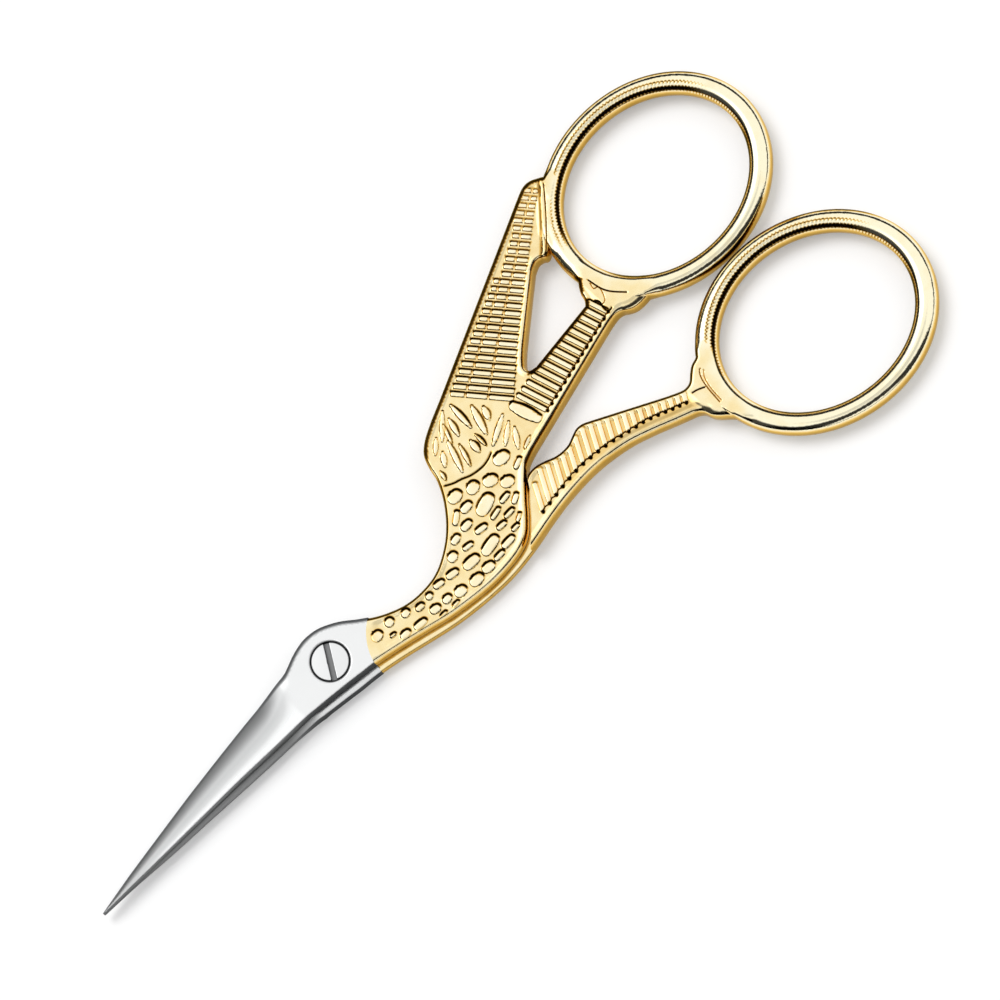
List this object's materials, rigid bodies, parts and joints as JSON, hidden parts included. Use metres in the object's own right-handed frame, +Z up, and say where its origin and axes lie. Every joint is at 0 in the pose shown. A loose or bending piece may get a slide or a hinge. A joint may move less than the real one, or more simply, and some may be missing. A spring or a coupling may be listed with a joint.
{
  "type": "embroidery scissors",
  "caption": "Small stork-shaped embroidery scissors with long pointed steel blades, gold plated bird-shaped handles, oval finger bows and a slotted pivot screw; they open and close",
  "frame": {"origin": "on the axis of the pivot screw, at the level of the surface that the closed scissors lie on", "axes": "+X from the pivot towards the finger bows, so that the tips point along -X; +Z up, along the pivot axis from the back half to the front half with the screw head; +Y towards the front half's bow"},
  "size_m": [0.0917, 0.0377, 0.003],
  "materials": {
    "blade_steel": "ground and polished carbon steel",
    "gold_plate": "polished gold plating over forged steel",
    "screw_steel": "turned and polished steel"
  },
  "bodies": {
    "back_half": {"back_blade": "blade_steel", "back_handle": "gold_plate", "pivot_screw": "screw_steel"},
    "front_half": {"front_blade": "blade_steel", "front_handle": "gold_plate"}
  },
  "joints": [
    {"name": "pivot", "type": "hinge", "parent": "back_half", "child": "front_half", "pos_m": [0, 0, 0.0015], "axis": [0, 0, 1], "range_deg": [0, 150]}
  ]
}
